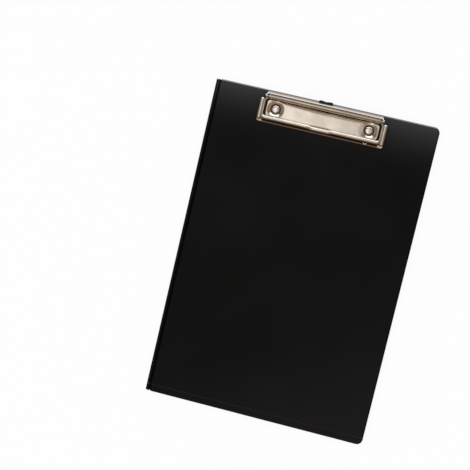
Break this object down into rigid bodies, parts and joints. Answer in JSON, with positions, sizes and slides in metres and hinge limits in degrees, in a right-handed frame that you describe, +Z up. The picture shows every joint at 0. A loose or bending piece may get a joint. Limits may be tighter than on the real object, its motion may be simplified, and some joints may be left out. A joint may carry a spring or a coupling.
{
  "type": "foldover clipboard",
  "caption": "Thin film-covered A4 foldover clipboard with a low sprung metal clip, a pull-out hanger and a cover with a storage pocket, folded behind the board.",
  "frame": {"origin": "middle of the footprint at rest, on the face that lies on the table", "axes": "+X to the free edge, +Y along the board to the clip, +Z up from the table"},
  "size_m": [0.226, 0.3242, 0.0153],
  "materials": {
    "vinyl_film": "satin",
    "greyboard": "matte",
    "nickel_plate": "polished",
    "nickel_rod": "polished",
    "spring_steel": "satin",
    "black_plastic": "satin"
  },
  "bodies": {
    "board": {"board_core": "greyboard", "board_front_film": "vinyl_film", "board_back_film": "vinyl_film", "clip_base": "nickel_plate", "hinge_rod": "nickel_rod", "spring_left": "spring_steel", "spring_right": "spring_steel", "rivet_left": "nickel_rod", "rivet_right": "nickel_rod", "rivet_washer_left": "nickel_rod", "rivet_washer_right": "nickel_rod"},
    "jaw": {"clip_jaw": "nickel_plate", "cord_eyelet": "nickel_rod"},
    "hanger": {"hanger": "black_plastic"},
    "spine_upper": {"spine_upper_fold": "vinyl_film"},
    "spine_lower": {"spine_lower_fold": "vinyl_film"},
    "cover": {"cover_core": "greyboard", "cover_outer_film": "vinyl_film", "cover_inner_film": "vinyl_film", "inner_pocket": "vinyl_film"}
  },
  "joints": [
    {"name": "jaw_lift", "type": "hinge", "parent": "board", "child": "jaw", "pos_m": [-0.0015, 0.1555, 0.0116], "axis": [-1, 0, 0], "range_deg": [0, 24], "stiffness_Nm_per_rad": 0.08, "springref_deg": -68.75, "deforming": ["spring_left", "spring_right"]},
    {"name": "hanger_slide", "type": "slide", "parent": "board", "child": "hanger", "axis": [0, 1, 0], "range_m": [0, 0.014]},
    {"name": "upper_crease", "type": "hinge", "parent": "board", "child": "spine_upper", "pos_m": [-0.10982, 0, 0.00505], "axis": [0, 1, 0], "range_deg": [0, 112.5]},
    {"name": "middle_crease", "type": "hinge", "parent": "spine_upper", "child": "spine_lower", "pos_m": [-0.11338, 0, 0.00323], "axis": [0, 1, 0], "range_deg": [0, 120.73]},
    {"name": "cover_fold", "type": "hinge", "parent": "spine_lower", "child": "cover", "pos_m": [-0.10982, 0, 0.0014], "axis": [0, 1, 0], "range_deg": [0, 112.5]}
  ]
}
